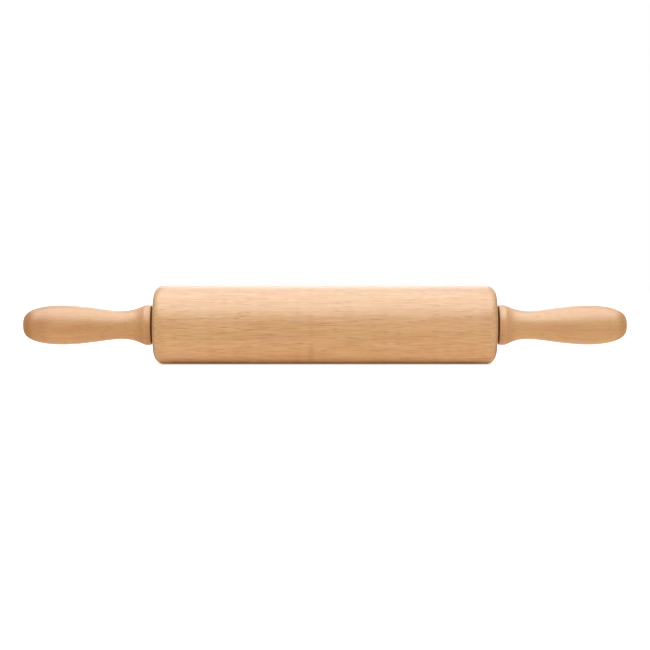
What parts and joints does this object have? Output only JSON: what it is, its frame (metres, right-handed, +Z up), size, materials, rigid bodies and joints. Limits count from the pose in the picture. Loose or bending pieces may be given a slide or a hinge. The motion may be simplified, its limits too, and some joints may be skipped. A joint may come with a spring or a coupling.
{
  "type": "rolling pin",
  "caption": "Turned wooden rolling pin whose barrel with rounded ends spins on ball bearings about a steel axle fixed in a shaped handle at each end.",
  "frame": {"origin": "on the surface the pin rests on, under the middle of the barrel", "axes": "+X along the pin's axis towards the right handle, +Z up"},
  "size_m": [0.4482, 0.0578, 0.0577],
  "materials": {
    "beech": "satin oiled, fine lengthwise grain",
    "steel": "ground and polished",
    "brass": "turned",
    "nylon": "moulded",
    "fibre": "vulcanised fibre, matt",
    "rubber": "moulded"
  },
  "bodies": {
    "axle_and_handles": {"axle_rod": "steel", "left_handle": "beech", "left_handle_insert": "brass", "left_spacer_washer": "fibre", "left_bearing_inner_ring": "steel", "left_retaining_clip": "steel", "right_handle": "beech", "right_handle_insert": "brass", "right_spacer_washer": "fibre", "right_bearing_inner_ring": "steel", "right_retaining_clip": "steel"},
    "barrel": {"barrel": "beech", "left_bearing_cup": "nylon", "left_bearing_outer_ring": "steel", "left_bearing_outboard_seal": "rubber", "left_bearing_inboard_seal": "rubber", "right_bearing_cup": "nylon", "right_bearing_outer_ring": "steel", "right_bearing_outboard_seal": "rubber", "right_bearing_inboard_seal": "rubber"},
    "left_cage": {"left_bearing_cage": "nylon", "left_bearing_ball_1": "steel", "left_bearing_ball_2": "steel", "left_bearing_ball_3": "steel", "left_bearing_ball_4": "steel", "left_bearing_ball_5": "steel", "left_bearing_ball_6": "steel", "left_bearing_ball_7": "steel"},
    "right_cage": {"right_bearing_cage": "nylon", "right_bearing_ball_1": "steel", "right_bearing_ball_2": "steel", "right_bearing_ball_3": "steel", "right_bearing_ball_4": "steel", "right_bearing_ball_5": "steel", "right_bearing_ball_6": "steel", "right_bearing_ball_7": "steel"}
  },
  "joints": [
    {"name": "barrel_spin", "type": "hinge", "parent": "axle_and_handles", "child": "barrel", "pos_m": [0, 0, 0.02885], "axis": [1, 0, 0], "continuous": true},
    {"name": "left_cage_spin", "type": "hinge", "parent": "axle_and_handles", "child": "left_cage", "pos_m": [-0.12252, 0, 0.02885], "axis": [1, 0, 0], "continuous": true},
    {"name": "right_cage_spin", "type": "hinge", "parent": "axle_and_handles", "child": "right_cage", "pos_m": [0.12252, 0, 0.02885], "axis": [1, 0, 0], "continuous": true}
  ],
  "couplings": [
    {"joint": "left_cage_spin", "follows": "barrel_spin", "ratio": 0.6317},
    {"joint": "right_cage_spin", "follows": "barrel_spin", "ratio": 0.6317}
  ]
}
